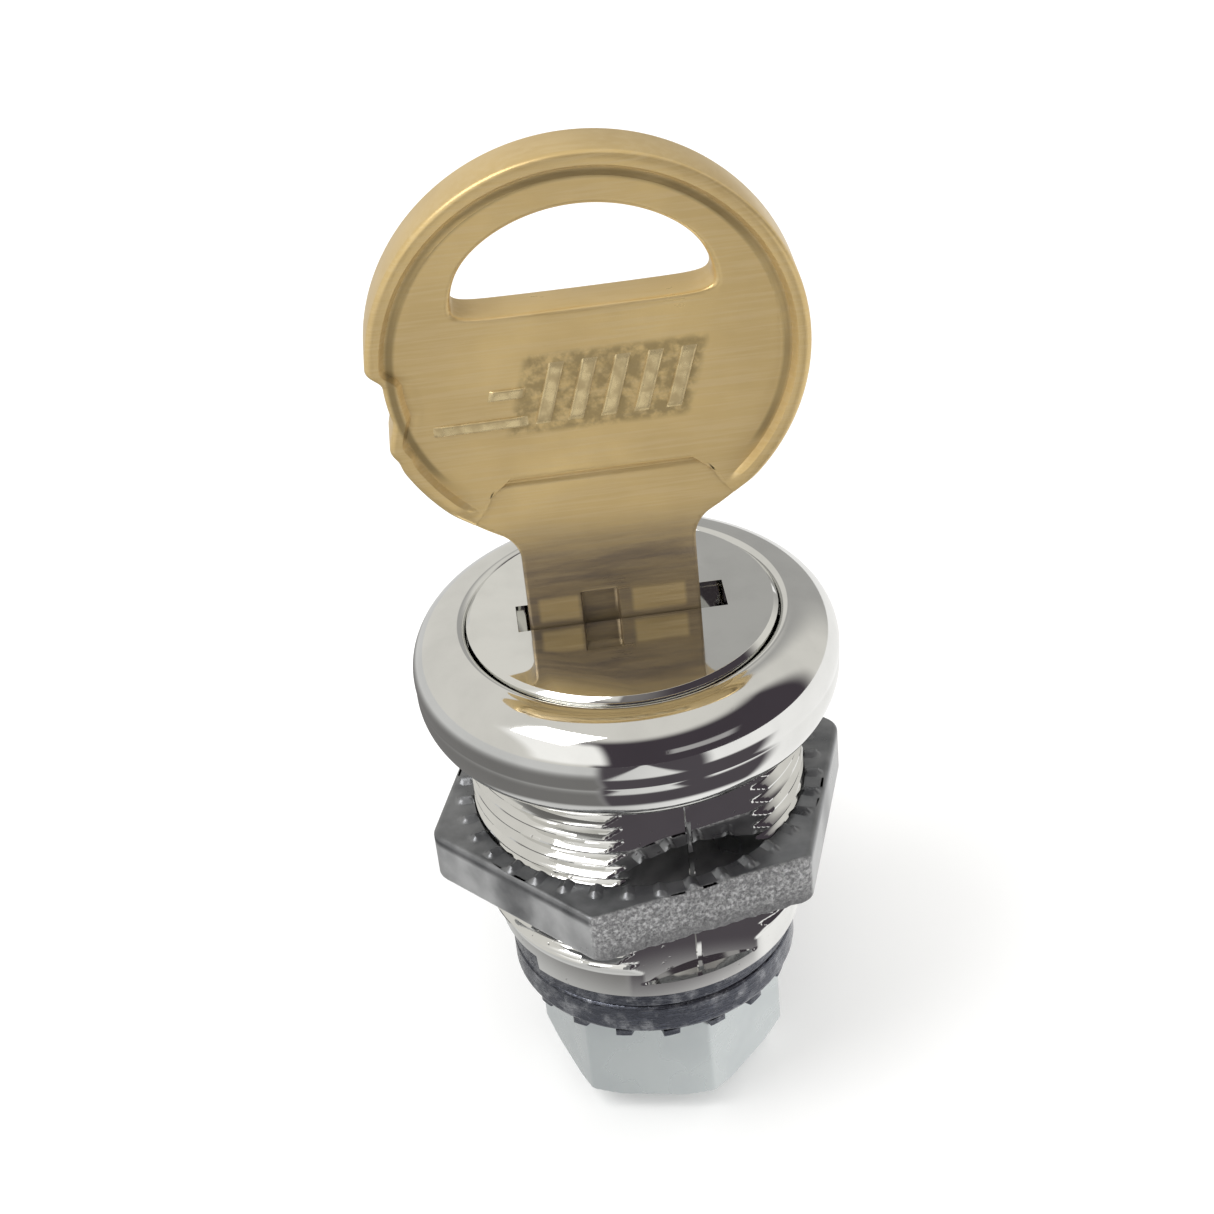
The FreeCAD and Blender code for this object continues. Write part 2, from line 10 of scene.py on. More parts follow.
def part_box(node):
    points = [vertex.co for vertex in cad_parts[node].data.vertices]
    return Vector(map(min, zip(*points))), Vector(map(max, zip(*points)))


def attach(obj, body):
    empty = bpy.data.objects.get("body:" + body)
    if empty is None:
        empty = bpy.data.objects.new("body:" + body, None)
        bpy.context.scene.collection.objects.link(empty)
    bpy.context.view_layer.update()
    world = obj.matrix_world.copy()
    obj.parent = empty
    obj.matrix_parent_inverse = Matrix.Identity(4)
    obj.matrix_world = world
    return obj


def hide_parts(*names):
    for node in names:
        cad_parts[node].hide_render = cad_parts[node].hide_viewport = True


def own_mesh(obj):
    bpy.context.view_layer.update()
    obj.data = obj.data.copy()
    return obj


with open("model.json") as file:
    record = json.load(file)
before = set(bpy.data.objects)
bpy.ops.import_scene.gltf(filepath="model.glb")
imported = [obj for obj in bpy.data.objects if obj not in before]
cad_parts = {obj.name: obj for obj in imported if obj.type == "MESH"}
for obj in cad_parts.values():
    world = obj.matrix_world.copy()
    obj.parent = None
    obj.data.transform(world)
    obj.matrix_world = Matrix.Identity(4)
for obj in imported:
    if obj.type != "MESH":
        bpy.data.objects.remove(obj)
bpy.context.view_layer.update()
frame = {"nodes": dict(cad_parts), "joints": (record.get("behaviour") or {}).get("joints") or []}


# ---------------------------------------------------------------- barrel of the housing
# The threaded rear of a zinc die casting, chromed all over: a fine right-hand thread cut short by two
# flats, the mould's parting line standing up on each flat, a plain rim behind the thread with the notch
# for the stop washer's tab, and the bore with its four wafer grooves.
MM = 0.001


def node_box(node):
    """A CAD node's lowest and highest corners in millimetres."""
    low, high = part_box(node)
    return np.array(low) / MM, np.array(high) / MM


def ease(x, start, end):
    """0 before start, 1 after end, and the cubic 3t^2 - 2t^3 between them."""
    t = np.clip((x - start) / (end - start), 0, 1)
    return t * t * (3 - 2 * t)


def surface(name, x, y, z, body, slot, stands_for=(), poles=False, sharp=32):
    """A closed surface on a grid in millimetres, riding on a body.

    The first index runs along a section and the second all the way round. The section closes on
    itself, or with poles its first and last rows are single points. Coinciding points are merged, and
    the faces are turned outwards if the volume, the sum of a . (b x c) / 6, comes out negative.
    """
    x, y, z = np.broadcast_arrays(x, y, z)
    points = np.stack([x, y, z], -1).reshape(-1, 3) * MM
    here = np.arange(len(points)).reshape(x.shape)
    below = np.roll(here, -1, 0)
    quads = np.stack([here, np.roll(here, -1, 1), np.roll(below, -1, 1), below], -1)
    if poles:
        quads = quads[:-1]
    quads = quads.reshape(-1, 4)
    a, b, c, d = (points[quads[:, i]] for i in range(4))
    if (a * np.cross(b, c)).sum() + (a * np.cross(c, d)).sum() < 0:
        quads = quads[:, ::-1]
    mesh = bpy.data.meshes.new(name)
    mesh.vertices.add(len(points))
    mesh.vertices.foreach_set("co", points.ravel())
    mesh.loops.add(quads.size)
    mesh.loops.foreach_set("vertex_index", quads.ravel())
    mesh.polygons.add(len(quads))
    mesh.polygons.foreach_set("loop_start", np.arange(0, quads.size, 4))
    mesh.update(calc_edges=True)
    return piece(name, mesh, body, stands_for, sharp)


def piece(name, mesh, body, stands_for, sharp):
    """Merges a mesh's doubles, smooths it below the sharp angle and makes it ride on its body."""
    work = bmesh.new()
    work.from_mesh(mesh)
    bmesh.ops.remove_doubles(work, verts=work.verts, dist=2e-7)
    bmesh.ops.dissolve_degenerate(work, edges=work.edges, dist=1e-7)
    work.to_mesh(mesh)
    work.free()
    mesh.shade_smooth()
    mesh.set_sharp_from_angle(angle=math.radians(sharp))
    thing = bpy.data.objects.new(name, mesh)
    bpy.context.scene.collection.objects.link(thing)
    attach(thing, body)
    if stands_for:
        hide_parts(*stands_for)
    return thing


def helix(theta, z, radius, pitch, depth):
    """A right-hand thread's radius: a triangle wave of z / pitch - theta / turn with blunted tips."""
    wave = np.abs(2 * np.mod(z / pitch - theta / (2 * np.pi), 1) - 1)
    return radius - depth * np.clip(1.3 * wave - 0.15, 0, 1)


def flat_sides(theta, normal, half):
    """The radius of two flats: half the width across them over |cos| of the angle from their normal."""
    return half / np.maximum(np.abs(np.cos(theta - normal)), 1e-3)


class Socket:
    """A shader socket that takes part in Python arithmetic: every sign adds one Math node."""

    def __init__(self, look, socket):
        self.look = look
        self.socket = socket

    def maths(self, operation, first, second):
        return self.look.add("ShaderNodeMath", {"operation": operation}, {0: first, 1: second})

    def __add__(self, other):
        return self.maths("ADD", self, other)

    def __sub__(self, other):
        return self.maths("SUBTRACT", self, other)

    def __rsub__(self, other):
        return self.maths("SUBTRACT", other, self)

    def __mul__(self, other):
        return self.maths("MULTIPLY", self, other)

    def __truediv__(self, other):
        return self.maths("DIVIDE", self, other)

    __radd__ = __add__
    __rmul__ = __mul__


class Look:
    """One material under construction, with its Principled shader and that shader's constants."""

    def __init__(self, name, metallic=1.0, **constants):
        self.material = bpy.data.materials.new(name)
        self.material.use_nodes = True
        self.tree = self.material.node_tree
        self.shader = self.tree.nodes["Principled BSDF"]
        self.shader.inputs["Metallic"].default_value = metallic
        for socket, value in constants.items():
            self.shader.inputs[socket.replace("_", " ")].default_value = value

    def maths_root(self, value):
        """The square root of a value."""
        return self.add("ShaderNodeMath", {"operation": "SQRT"}, {0: value})

    def add(self, kind, settings, values, output=0):
        """One node: its settings are set first, then each input's value or link."""
        node = self.tree.nodes.new(kind)
        for name, value in settings.items():
            setattr(node, name, value)
        for name, value in values.items():
            if isinstance(value, Socket):
                self.tree.links.new(value.socket, node.inputs[name])
            else:
                node.inputs[name].default_value = value
        return Socket(self, node.outputs[output])

    def set(self, name, value):
        """Links a varying value to one of the shader's sockets."""
        self.tree.links.new(value.socket, self.shader.inputs[name])

    def place(self):
        """Object coordinates, in metres."""
        return self.add("ShaderNodeTexCoord", {}, {}, 3)

    def axes(self):
        """The object's x, y and z, in metres, as three sockets."""
        first = self.add("ShaderNodeSeparateXYZ", {}, {0: self.place()})
        outputs = first.socket.node.outputs
        return [Socket(self, output) for output in outputs]

    def stretched(self, scale, turn=(0, 0, 0)):
        """Object coordinates scaled, and turned, for grain that runs one way."""
        values = {"Vector": self.place(), "Scale": scale, "Rotation": turn}
        return self.add("ShaderNodeMapping", {}, values)

    def noise(self, size_mm, detail=3.0, rough=0.5, at=None):
        """Cloudy values from 0 to 1 whose grains are about size_mm across."""
        place = self.place() if at is None else at
        values = {"Vector": place, "Scale": 1 / (size_mm * MM), "Detail": detail, "Roughness": rough}
        return self.add("ShaderNodeTexNoise", {}, values)

    def band(self, value, low, high):
        """A value mapped smoothly from low..high onto 0..1, and held there outside."""
        values = {"Value": value, "From Min": low, "From Max": high, "To Min": 0.0, "To Max": 1.0}
        return self.add("ShaderNodeMapRange", {"interpolation_type": "SMOOTHSTEP"}, values)

    def mix(self, factor, first, second):
        """A colour between two, by a factor."""
        values = {0: factor, 6: first, 7: second}
        for key in (6, 7):
            if not isinstance(values[key], Socket):
                values[key] = (*values[key], 1)
        return self.add("ShaderNodeMix", {"data_type": "RGBA"}, values, 2)

    def bump(self, height, distance_mm, strength=1.0, under=None):
        """A bump from a height socket, on top of another bump if one is given."""
        values = {"Height": height, "Distance": distance_mm * MM, "Strength": strength}
        if under is not None:
            values["Normal"] = under
        return self.add("ShaderNodeBump", {}, values)


def chrome_look(name, tint, specks):
    """Bright chrome plate: a mirror with faint haze, soft waves, and pits where the casting shows."""
    look = Look(name)
    haze = look.band(look.noise(2.6), 0.35, 0.75)
    pits = look.band(look.noise(0.55, 2.0, 0.6), 0.70, 0.80)
    film = look.mix(haze, tint, [0.93 * c for c in tint])
    look.set("Base Color", look.mix(pits * specks, film, (0.22, 0.21, 0.20)))
    look.set("Roughness", haze * 0.05 + pits * (0.3 * specks) + 0.035)
    waves = look.bump(look.noise(5.5, 1.0), 0.05, 0.25)
    look.set("Normal", look.bump(1.0 - pits, 0.03, 0.4 * specks, waves))
    return look.material


housing_low, housing_high = node_box("housing")
rear = housing_low[2]
barrel_r = 9.5
barrel_pitch = 0.9
thread_depth = 0.5
flat_half = 8.2
flat_normal = math.radians(-90 + 14)
flat_end = 0.9
rim_r, rim_height, rim_taper = 8.9, 1.7, 2.9
neck_r = 9.0
seam_half, seam_height = 0.15, 0.14
bore_r, chamber_r, chamber_half, chamber_top = 6.86, 7.7, 2.76, 2.46
recess_floor = 2.95
notch_height = 0.9
notch_start, notch_end = math.radians(100.6), math.radians(216.1)

seam_edge = np.array([-1.15, -0.85, 0.85, 1.15]) * seam_half
seam_angle = np.arctan(seam_edge / flat_half) + flat_normal
seam_angle = np.mod(np.concatenate([seam_angle, seam_angle + np.pi]), 2 * np.pi)
theta = np.linspace(0, 2 * np.pi, 460, endpoint=False)
theta = np.unique(np.concatenate([theta, seam_angle]))[None, :]

outside_z = np.concatenate([[recess_floor], np.arange(0, rear, -0.085), [rear]])[:, None]
envelope = np.interp(outside_z, [rear, rear + rim_height, rear + rim_taper, -0.01, 0],
                     [rim_r, rim_r, barrel_r, barrel_r, neck_r])
offset = flat_half * np.tan(theta - flat_normal)
seam_wave = 0.55 + 0.45 * np.sin(2.1 * outside_z + 0.6)
seam = seam_height * (np.abs(offset) < seam_half) * seam_wave
flats = flat_sides(theta, flat_normal, flat_half + seam)
flats = np.where(outside_z > rear + flat_end, flats, barrel_r)
outside_r = np.minimum(helix(theta, outside_z, barrel_r, barrel_pitch, thread_depth), flats)
outside_r = np.minimum(outside_r, envelope)

bore_z = np.array([rear, rear / 2, chamber_top - 0.01, chamber_top, recess_floor])[:, None]
quarter = np.mod(theta + np.pi / 4, np.pi / 2) - np.pi / 4
in_chamber = (np.abs(bore_r * np.sin(quarter)) < chamber_half) & (bore_z < chamber_top)
bore = np.where(in_chamber, chamber_r, bore_r)
rear_share = np.linspace(0, 1, 5)[1:-1, None]
rear_r = outside_r[-1:] + (bore[:1] - outside_r[-1:]) * rear_share

barrel_section_r = np.concatenate([outside_r, rear_r, bore])
barrel_section_z = np.concatenate([outside_z, np.full_like(rear_share, rear), bore_z])
in_notch = (theta > notch_start) & (theta < notch_end)
barrel_z = np.maximum(barrel_section_z, np.where(in_notch, rear + notch_height, rear))
barrel = surface("barrel", barrel_section_r * np.cos(theta), barrel_section_r * np.sin(theta), barrel_z,
                 "housing", "chromed_zinc", ["housing"])
chrome = (0.80, 0.80, 0.785)
barrel.data.materials.append(chrome_look("chromed casting", chrome, 0.8))


# ---------------------------------------------------------------- bezel of the housing
# The same casting's bulging front, polished before it was chromed: a rolled lip round the plug's head,
# a full round side, and the flat underside that bears on the panel.
bezel_r = housing_high[0]
crest_z = housing_high[2]
widest_z = 2.9
crest_r, seat_r, recess_r, lip_drop = 9.3, 10.3, 8.66, 0.35


def arc_through(start, middle, end, steps):
    """Points on the circle through three points, from the first to the last.

    The centre is where the perpendicular bisectors meet, and the angle runs evenly between the ends.
    """
    a, b, c = (np.array(p) for p in (start, middle, end))
    rows = 2 * np.array([b - a, c - a])
    centre = np.linalg.solve(rows, [b @ b - a @ a, c @ c - a @ a])
    angles = np.unwrap([math.atan2(*(p - centre)[::-1]) for p in (a, b, c)])
    swing = np.linspace(angles[0], angles[2], steps)
    return centre + np.linalg.norm(a - centre) * np.stack([np.cos(swing), np.sin(swing)], -1)


bulge = crest_z - widest_z
lip_width = crest_r - recess_r
bezel_section = np.concatenate([
    [(recess_r, 0), (recess_r, recess_floor), (recess_r, crest_z - lip_drop - 0.06)],
    arc_through((recess_r, crest_z - lip_drop), (recess_r + 0.25 * lip_width, crest_z - 0.25 * lip_drop),
                (crest_r, crest_z), 12),
    arc_through((crest_r, crest_z), (bezel_r - 0.22 * (bezel_r - crest_r), crest_z - 0.28 * bulge),
                (bezel_r, widest_z), 34)[1:],
    arc_through((bezel_r, widest_z), (bezel_r - 0.22 * (bezel_r - seat_r), 0.38 * widest_z),
                (seat_r, 0), 26)[1:],
])
turn = np.linspace(0, 2 * np.pi, 360, endpoint=False)[None, :]
bezel = surface("bezel", bezel_section[:, :1] * np.cos(turn), bezel_section[:, :1] * np.sin(turn),
                bezel_section[:, 1:], "housing", "chromed_zinc", sharp=50)
bezel.data.materials.append(chrome_look("polished bezel chrome", chrome, 0.05))


# ---------------------------------------------------------------- panel nut
# A zinc nut cast in one piece: soft corners, a ring of radial teeth that bite the panel, a plain bore
# behind them, and one facet left rough where the runner was broken off.
def hexagon(theta, across, normal, corner):
    """A hexagon's radius with rounded corners.

    Along a facet it is half the width over cos of the angle from the facet's normal. Near a corner it
    is the far side of a circle that touches both facets.
    """
    apothem = across / 2
    facet = np.abs(np.mod(theta - normal + np.pi / 6, np.pi / 3) - np.pi / 6)
    centre = (apothem - corner) / math.cos(math.pi / 6)
    reach = centre * np.sin(np.pi / 6 - facet)
    rounded = centre * np.cos(np.pi / 6 - facet) + np.sqrt(np.maximum(corner ** 2 - reach ** 2, 0))
    touch = math.atan2((apothem - corner) * math.tan(math.pi / 6), apothem)
    return np.where(facet < touch, apothem / np.cos(facet), rounded)


def rounded_wall(low, high, round_low, round_high, steps):
    """A wall from high to low with quarter-round ends, as (inset from the wall, z)."""
    swing = np.linspace(0, np.pi / 2, 6)
    top = np.stack([round_high * (1 - np.sin(swing)), high - round_high * (1 - np.cos(swing))], -1)
    bottom = np.stack([round_low * (1 - np.cos(swing)), low + round_low * (1 - np.sin(swing))], -1)
    middle_z = np.linspace(high - round_high, low + round_low, steps)[1:-1]
    return np.concatenate([top, np.stack([0 * middle_z, middle_z], -1), bottom])


nut_low, nut_high = node_box("hex_nut")
nut_across = 21.6
nut_normal = math.radians(-90 + 12.4)
nut_corner = 1.2
nut_round_low, nut_round_high = 0.25, 0.3
nut_bore_r = barrel_r + 0.06
nut_teeth, tooth_height = 36, 0.3
tooth_start, tooth_end = 9.85, 10.6
nut_top = nut_high[2] - tooth_height
tooth_foot, tooth_flank = 0.55, 0.40
rough_full, rough_end = math.radians(24), math.radians(31)
torn_depth, grain_depth, chip_depth = 0.04, 0.022, 0.072
chip_start, chip_full = 7.4, 8.8

theta = np.linspace(0, 2 * np.pi, 648, endpoint=False)[None, :]
nut_r = hexagon(theta, nut_across, nut_normal, nut_corner)
wall = rounded_wall(nut_low[2], nut_top, nut_round_low, nut_round_high, 20)
wall_z = wall[:, 1:] + 0 * theta
from_front = np.abs(np.mod(theta - nut_normal + np.pi, 2 * np.pi) - np.pi)
rough_facet = 1 - ease(from_front, rough_full, rough_end)
rng = np.random.default_rng(7)
grain = rng.standard_normal((len(wall), theta.size))
grain = grain + np.roll(grain, 1, 1) + np.roll(grain, 1, 0)
chips = np.sin(54 * theta) * np.sin(30 * theta + 1) * ease(-wall[:, 1:], chip_start, chip_full)
torn = torn_depth + grain_depth * np.abs(grain) - chip_depth * chips
wall_r = nut_r - wall[:, :1] - rough_facet * torn

inner_z = np.arange(nut_low[2], nut_top, 0.11)[:, None]
nut_bore = np.full((len(inner_z), theta.size), nut_bore_r)
across_teeth = np.concatenate([[nut_bore_r, tooth_start - 0.15], np.linspace(tooth_start, tooth_end - 0.1, 5),
                               [tooth_end + 0.05]])
teeth_r = across_teeth[:, None] + 0 * theta
land_r = teeth_r[-1:] + (wall_r[:1] - teeth_r[-1:]) * np.linspace(0.15, 0.9, 6)[:, None]
crown_r = np.concatenate([teeth_r, land_r])
tooth_phase = np.abs(2 * np.mod(theta * nut_teeth / (2 * np.pi), 1) - 1)
tooth = tooth_height * np.clip((tooth_phase - tooth_foot) / tooth_flank, 0, 1)
on_ring = (1 - ease(crown_r, tooth_end - 0.25, tooth_end + 0.02)) * ease(crown_r, barrel_r, barrel_r + 0.12)
crown_z = nut_top + tooth * on_ring
under_r = wall_r[-1:] + (nut_bore[:1] - wall_r[-1:]) * np.linspace(0, 1, 8)[1:-1, None]
nut_section_r = np.concatenate([nut_bore, crown_r, wall_r, under_r])
nut_section_z = np.concatenate([inner_z + 0 * theta, crown_z, wall_z, np.full_like(under_r, nut_low[2])])
panel_nut = surface("panel_nut", nut_section_r * np.cos(theta), nut_section_r * np.sin(theta),
                    nut_section_z, "housing", "cast_zinc", ["hex_nut"])


def cast_zinc_look():
    """Bare cast zinc: a cloudy grey top darkened as painted shade under the bezel, flanks made paler as
    painted light, and bright torn grains on the rough facet.
    """
    look = Look("cast zinc")
    x, y, z = [axis / MM for axis in look.axes()]
    toward_runner = x * math.cos(nut_normal) + y * math.sin(nut_normal)
    rough = look.band(toward_runner, nut_across / 2 - 0.5, nut_across / 2 - 0.2)
    clouds = look.band(look.noise(1.9, 4.0), 0.3, 0.7)
    grains = look.band(look.noise(0.24, 4.0, 0.75), 0.36, 0.70)
    foot = look.band(z, nut_low[2] + 1.5, nut_low[2] + 0.1) * 0.75
    outside = look.band(look.maths_root(x * x + y * y), tooth_end + 0.1, tooth_end + 0.4)
    # Painted light and shade: the flanks below the top get paler greys as painted light, and the top gets
    # darker greys as painted shade under the bezel.
    flank = look.band(z, nut_top - 0.35, nut_top - 0.75) * outside
    top = look.mix(clouds, (0.16, 0.164, 0.172), (0.26, 0.264, 0.273))
    shaded_top_lit_flanks = look.mix(flank, top, look.mix(clouds, (0.34, 0.345, 0.35), (0.48, 0.485, 0.49)))
    broken = look.mix(grains * (1.0 - foot), (0.19, 0.19, 0.195), (0.74, 0.74, 0.75))
    look.set("Base Color", look.mix(rough, shaded_top_lit_flanks, broken))
    look.set("Roughness", 0.27 + 0.14 * clouds + 0.16 * rough)
    look.set("Metallic", 0.8 - 0.4 * rough - 0.35 * flank * (1.0 - rough))
    skin = look.bump(look.noise(0.9, 4.0, 0.6), 0.06, 0.35)
    look.set("Normal", look.bump(grains * rough, 0.10, 0.9, skin))
    return look.material


panel_nut.data.materials.append(cast_zinc_look())


# ---------------------------------------------------------------- plug
# The turning core, one zinc casting. Its head is ground flat and mirror-chromed with the keyway slot
# cut in it, its body holds the wafers, and its tail is a threaded stud with two flats.
def finished_copy(node, name, body, look, bevel_mm, keep_above=None):
    """A CAD node's mesh with doubles merged, flat areas joined and edges rounded by a live bevel."""
    mesh = frame["nodes"][node].data.copy()
    mesh.materials.clear()
    work = bmesh.new()
    work.from_mesh(mesh)
    bmesh.ops.remove_doubles(work, verts=work.verts, dist=1e-6)
    if keep_above is not None:
        everything = work.verts[:] + work.edges[:] + work.faces[:]
        cut = bmesh.ops.bisect_plane(work, geom=everything, plane_co=(0, 0, keep_above * MM),
                                     plane_no=(0, 0, 1), clear_inner=True)
        rim = [part for part in cut["geom_cut"] if isinstance(part, bmesh.types.BMEdge)]
        bmesh.ops.holes_fill(work, edges=rim)
    bmesh.ops.dissolve_limit(work, angle_limit=math.radians(0.6), verts=work.verts, edges=work.edges)
    work.to_mesh(mesh)
    work.free()
    thing = piece(name, mesh, body, [node], 32)
    bevel = thing.modifiers.new("rounded edges", "BEVEL")
    bevel.width = bevel_mm * MM
    bevel.segments = 2
    bevel.limit_method = "ANGLE"
    bevel.angle_limit = math.radians(35)
    bevel.harden_normals = True
    mesh.materials.append(look)
    return thing


body_rear = rear - 0.05
mirror_chrome = chrome_look("mirror chrome", (0.84, 0.84, 0.82), 0.0)
finished_copy("plug", "plug_core", "plug", mirror_chrome, 0.05, body_rear + 0.01)

stud_end = node_box("plug")[0][2]
stud_r, stud_half, stud_pitch, stud_depth = 3.97, 3.15, 1.06, 0.5
point_inset, point_slope = 0.75, 1.1
theta = np.linspace(0, 2 * np.pi, 240, endpoint=False)[None, :]
stud_z = np.arange(body_rear + 0.3, stud_end, -0.1)[:, None]
stud = helix(theta, stud_z, stud_r, stud_pitch, stud_depth)
stud = np.minimum(stud, flat_sides(theta, np.pi / 2, stud_half))
stud = np.minimum(stud, stud_r - point_inset + (stud_z - stud_end) * point_slope)
stud_rows_r = np.concatenate([0 * theta, stud, 0.5 * stud[-1:], 0 * theta])
stud_rows_z = np.concatenate([stud_z[:1], stud_z, [[stud_end + 0.02], [stud_end + 0.02]]])
tail = surface("plug_tail", stud_rows_r * np.cos(theta), stud_rows_r * np.sin(theta), stud_rows_z,
               "plug", "polished_chrome", poles=True)
tail.data.materials.append(chrome_look("tail chrome", (0.70, 0.70, 0.69), 0.6))


# ---------------------------------------------------------------- stop washer, cam and lock washer
# Steel stampings, zinc plated and blue passivated: the stop washer's tab is set up into the housing's
# notch, the cam is the latch, and the toothed washer bites both the cam and the nut.
def plated_steel_look(name, dark, light, rub):
    """Zinc plated steel: a bluish grey film, rubbed bright in patches, with fine level scratches."""
    look = Look(name)
    rubbed = look.band(look.noise(1.1, 6.0, 0.72), 0.46, 0.74) * rub
    scratch = look.noise(0.30, 3.0, 0.6, look.stretched((0.35, 0.35, 4.0)))
    lines = look.band(scratch, 0.45, 0.62)
    film = look.mix(lines, dark, [1.5 * c for c in dark])
    look.set("Base Color", look.mix(rubbed, film, light))
    look.set("Roughness", 0.20 + 0.10 * lines + 0.10 * rubbed)
    skin = look.bump(look.noise(0.45, 4.0, 0.65), 0.035, 0.5)
    look.set("Normal", look.bump(lines, 0.02, 0.5, skin))
    return look.material


plated = plated_steel_look("zinc plated steel", (0.085, 0.09, 0.11), (0.52, 0.53, 0.56), 0.7)
finished_copy("stop_washer", "stop_ring", "plug", plated, 0.18)
finished_copy("cam", "latch_cam", "plug", plated, 0.28)

washer_low, washer_high = node_box("lock_washer")
washer_r, washer_root, washer_teeth = 8.1, 7.5, 18
flank_start, flank_end = 0.32, 0.46
washer_half, washer_twist, twist_start = 0.2, 0.38, 6.2
stud_gap = 0.06
washer_mid = (washer_low[2] + washer_high[2]) / 2
theta = np.linspace(0, 2 * np.pi, 432, endpoint=False)[None, :]
phase = np.mod(theta * washer_teeth / (2 * np.pi), 1)
in_gap = ease(np.abs(2 * phase - 1), flank_start, flank_end)
washer_outer = washer_r + (washer_root - washer_r) * in_gap
share = np.linspace(0, 1, 12)[:, None]
washer_top_r = stud_r + stud_gap + (washer_outer - stud_r - stud_gap) * share
section_r = np.concatenate([washer_top_r, washer_top_r[::-1]])
side = np.concatenate([np.full_like(share, washer_half), np.full_like(share, -washer_half)])
twist = washer_twist * (phase - 0.5) * ease(section_r, twist_start, washer_r)
toothed = surface("toothed_washer", section_r * np.cos(theta), section_r * np.sin(theta),
                  washer_mid + side + twist, "plug", "zinc_plated_steel", ["lock_washer"])
toothed.data.materials.append(plated)


# ---------------------------------------------------------------- cam nut
# A half inch hexagon steel nut, bright zinc plated to a soft pale sheen, chamfered on both faces and
# run up tight against the toothed washer. Each face's cone meets the hexagon in a soft minimum.
cam_nut_low, cam_nut_high = node_box("cam_nut")
cam_nut_across = 12.7
cam_nut_normal = math.radians(-90 - 12)
cam_nut_corner, nut_chamfer = 0.22, 0.45
cone_angle = math.radians(30)
blend = 30
theta = np.linspace(0, 2 * np.pi, 432, endpoint=False)[None, :]
hexagonal = hexagon(theta, cam_nut_across, cam_nut_normal, cam_nut_corner)
nut_z = np.linspace(cam_nut_high[2], cam_nut_low[2], 60)[:, None]
from_face = np.minimum(cam_nut_high[2] - nut_z, nut_z - cam_nut_low[2])
cone = 1.05 * cam_nut_across / 2 + from_face / math.tan(cone_angle)
outer = -np.log(np.exp(-blend * hexagonal) + np.exp(-blend * cone)) / blend
bore_rows_z = np.arange(cam_nut_low[2], cam_nut_high[2], 0.11)[:, None]
lead = np.minimum(bore_rows_z - cam_nut_low[2], cam_nut_high[2] - bore_rows_z)
bore = stud_r + stud_gap + np.maximum(nut_chamfer - lead, 0)
section_r = np.concatenate([outer, (outer[-1:] + bore[:1]) / 2, bore + 0 * theta,
                            (outer[:1] + bore[-1:]) / 2])
section_z = np.concatenate([nut_z, [[cam_nut_low[2]]], bore_rows_z, [[cam_nut_high[2]]]])
rear_nut = surface("rear_nut", section_r * np.cos(theta), section_r * np.sin(theta), section_z,
                   "plug", "bright_zinc_steel", ["cam_nut"])


def bright_zinc_look():
    """Bright zinc plate: pale and even, with a fine satin grain and faint darker clouds."""
    look = Look("bright zinc plate", metallic=0.85)
    clouds = look.band(look.noise(3.0, 3.0), 0.3, 0.75)
    look.set("Base Color", look.mix(clouds, (0.57, 0.605, 0.61), (0.53, 0.565, 0.575)))
    look.set("Roughness", 0.25 + 0.08 * clouds)
    look.set("Normal", look.bump(look.noise(0.25, 4.0, 0.6), 0.01, 0.2))
    return look.material


rear_nut.data.materials.append(bright_zinc_look())


# ---------------------------------------------------------------- key: blade
# A brass blank, stamped and then milled: the flat blade with a warding groove along each side and its
# bitting cut in both edges, flaring through two round shoulders into the bow.
key_low, key_high = node_box("key")
bow_r = (key_high[0] - key_low[0]) / 2
key_x = (key_high[0] + key_low[0]) / 2
bow_z = key_high[2] - bow_r
tip_z = key_low[2]
blade_half, half_thick = 4.7, 1.1
shoulder_r = 2.0
shoulder_z = bow_z - math.sqrt((bow_r + shoulder_r) ** 2 - (blade_half + shoulder_r) ** 2)
ward_half, ward_offset, ward_depth, ward_top = 1.0, 0.75, 0.45, 8.3
ward_side, ward_runout = (-0.05, 0.08), 0.35
first_cut, cut_step, tip_slope, cut_rest = 0.2, 0.1, 2.2, 0.6
round_edge = 0.16
# Drops are measured down from the bow's centre, and mark_z and hub_z, the hole's middle, up from it.
foot_half, foot_drop = blade_half + 1.7, bow_r - 3.5
top_half, top_drop = blade_half + 0.2, bow_r - 4.8
foot_gap, flare_drop = 0.12, 1.5
step_depth, step_below, step_width = 0.16, 0.16, 0.13
mark_z, mark_height, mark_lean = -1.6, 3.5, 0.30
hub_z = 5.4


